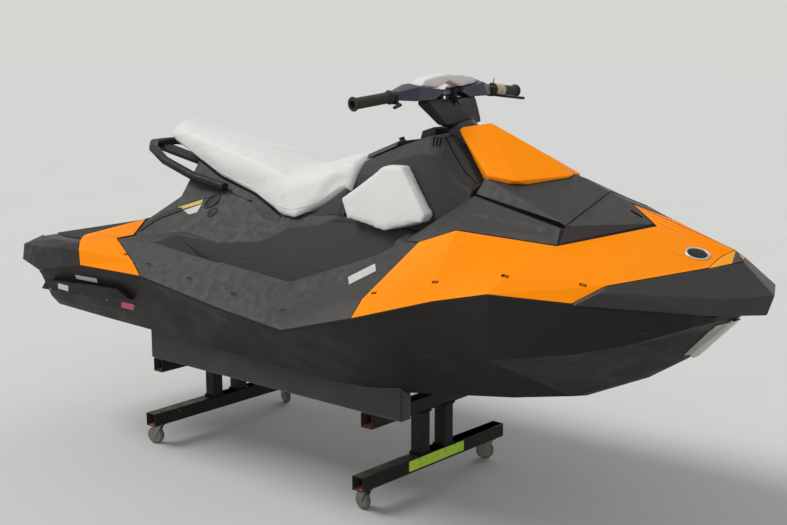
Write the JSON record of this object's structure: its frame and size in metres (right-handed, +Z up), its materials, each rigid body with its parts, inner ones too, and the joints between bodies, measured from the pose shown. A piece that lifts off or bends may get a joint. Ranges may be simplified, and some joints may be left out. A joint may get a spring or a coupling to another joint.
{
  "type": "personal watercraft on a wheeled stand",
  "caption": "Sit-down personal watercraft with faceted cladding, steering, jet pump, hood and glovebox, resting on a low stand of square tube with casters.",
  "frame": {"origin": "on the floor under the middle of the overall length and beam", "axes": "+X towards the bow, +Y to port, +Z up"},
  "size_m": [3.05, 1.18, 1.44],
  "materials": {
    "orange_plastic": "satin moulded panel",
    "grey_plastic": "fine-grained moulded panel",
    "black_plastic": "fine-grained moulded panel",
    "hull_skin": "semi-gloss",
    "mat_rubber": "matt",
    "seat_vinyl": "soft coated fabric",
    "white_foam": "soft coated foam",
    "navy_plastic": "satin",
    "bare_metal": "brushed",
    "cast_metal": "satin cast",
    "grip_rubber": "matt",
    "frame_paint": "satin black paint",
    "bunk_carpet": "short pile",
    "wheel_rubber": "matt"
  },
  "bodies": {
    "craft": {"hull": "hull_skin", "deck": "grey_plastic", "gunwale_starboard": "grey_plastic", "gunwale_port": "grey_plastic", "console": "grey_plastic", "seat_base": "grey_plastic", "front_panel_starboard": "orange_plastic", "front_panel_port": "orange_plastic", "rear_panel_starboard": "orange_plastic", "rear_panel_port": "orange_plastic", "stern_bumper_starboard": "black_plastic", "stern_bumper_port": "black_plastic", "hood_cheek_starboard": "black_plastic", "hood_cheek_port": "black_plastic", "bow_bumper": "black_plastic", "grab_handle": "black_plastic", "storage_bin": "black_plastic", "gauge": "black_plastic", "sponson_starboard": "black_plastic", "sponson_port": "black_plastic", "footwell_mat_starboard": "mat_rubber", "footwell_mat_port": "mat_rubber", "rear_mat_starboard": "mat_rubber", "rear_mat_port": "mat_rubber", "column_boot": "mat_rubber", "seat": "seat_vinyl", "knee_panel_starboard": "white_foam", "knee_panel_port": "white_foam", "bow_strip": "bare_metal", "pump_housing": "cast_metal", "ride_plate": "cast_metal", "intake_grate": "cast_metal", "stand_rear": "frame_paint", "stand_front": "frame_paint", "bunk_starboard": "bunk_carpet", "bunk_port": "bunk_carpet"},
    "steering": {"steering_frame": "black_plastic", "steering_pad": "white_foam", "handlebar": "bare_metal", "grip_starboard": "grip_rubber", "grip_port": "grip_rubber", "throttle_lever": "black_plastic", "brake_lever": "black_plastic", "bar_cover_starboard": "navy_plastic", "bar_cover_port": "navy_plastic"},
    "nozzle": {"steering_nozzle": "cast_metal"},
    "gate": {"reverse_gate": "cast_metal"},
    "impeller": {"impeller": "cast_metal"},
    "hood": {"hood": "black_plastic", "deflector": "orange_plastic"},
    "glovebox_lid": {"glovebox_lid": "black_plastic"},
    "fork_rear_starboard": {"caster_fork_rear_starboard": "bare_metal"},
    "wheel_rear_starboard": {"caster_wheel_rear_starboard": "wheel_rubber"},
    "fork_rear_port": {"caster_fork_rear_port": "bare_metal"},
    "wheel_rear_port": {"caster_wheel_rear_port": "wheel_rubber"},
    "fork_front_starboard": {"caster_fork_front_starboard": "bare_metal"},
    "wheel_front_starboard": {"caster_wheel_front_starboard": "wheel_rubber"},
    "fork_front_port": {"caster_fork_front_port": "bare_metal"},
    "wheel_front_port": {"caster_wheel_front_port": "wheel_rubber"}
  },
  "joints": [
    {"name": "steering", "type": "hinge", "parent": "craft", "child": "steering", "pos_m": [0.42, 0, 1.242], "axis": [-0.507, 0, 0.8619], "range_deg": [-22, 22]},
    {"name": "nozzle", "type": "hinge", "parent": "craft", "child": "nozzle", "pos_m": [-1.235, 0, 0.51], "axis": [0, 0, 1], "range_deg": [-18, 18]},
    {"name": "reverse_gate", "type": "hinge", "parent": "craft", "child": "gate", "pos_m": [-1.135, 0, 0.51], "axis": [0, -1, 0], "range_deg": [0, 22]},
    {"name": "impeller", "type": "hinge", "parent": "craft", "child": "impeller", "pos_m": [-0.965, 0, 0.51], "axis": [1, 0, 0], "continuous": true},
    {"name": "hood", "type": "hinge", "parent": "craft", "child": "hood", "pos_m": [1.18, 0, 1.015], "axis": [0, 1, 0], "range_deg": [0, 65]},
    {"name": "glovebox_lid", "type": "hinge", "parent": "craft", "child": "glovebox_lid", "pos_m": [0.195, 0, 1.197], "axis": [0, 1, 0], "range_deg": [0, 60]},
    {"name": "swivel_rear_starboard", "type": "hinge", "parent": "craft", "child": "fork_rear_starboard", "pos_m": [-0.787, -0.345, 0.08], "axis": [0, 0, 1], "continuous": true},
    {"name": "roll_rear_starboard", "type": "hinge", "parent": "fork_rear_starboard", "child": "wheel_rear_starboard", "pos_m": [-0.80579, -0.35184, 0.033], "axis": [0.342, -0.9397, 0], "continuous": true},
    {"name": "swivel_rear_port", "type": "hinge", "parent": "craft", "child": "fork_rear_port", "pos_m": [-0.787, 0.345, 0.08], "axis": [0, 0, 1], "continuous": true},
    {"name": "roll_rear_port", "type": "hinge", "parent": "fork_rear_port", "child": "wheel_rear_port", "pos_m": [-0.80579, 0.35184, 0.033], "axis": [-0.342, -0.9397, 0], "continuous": true},
    {"name": "swivel_front_starboard", "type": "hinge", "parent": "craft", "child": "fork_front_starboard", "pos_m": [0.283, -0.345, 0.08], "axis": [0, 0, 1], "continuous": true},
    {"name": "roll_front_starboard", "type": "hinge", "parent": "fork_front_starboard", "child": "wheel_front_starboard", "pos_m": [0.2633, -0.34153, 0.033], "axis": [-0.1736, -0.9848, 0], "continuous": true},
    {"name": "swivel_front_port", "type": "hinge", "parent": "craft", "child": "fork_front_port", "pos_m": [0.283, 0.345, 0.08], "axis": [0, 0, 1], "continuous": true},
    {"name": "roll_front_port", "type": "hinge", "parent": "fork_front_port", "child": "wheel_front_port", "pos_m": [0.26662, 0.33353, 0.033], "axis": [0.5736, -0.8192, 0], "continuous": true}
  ],
  "couplings": [
    {"joint": "nozzle", "follows": "steering", "ratio": -0.8}
  ]
}
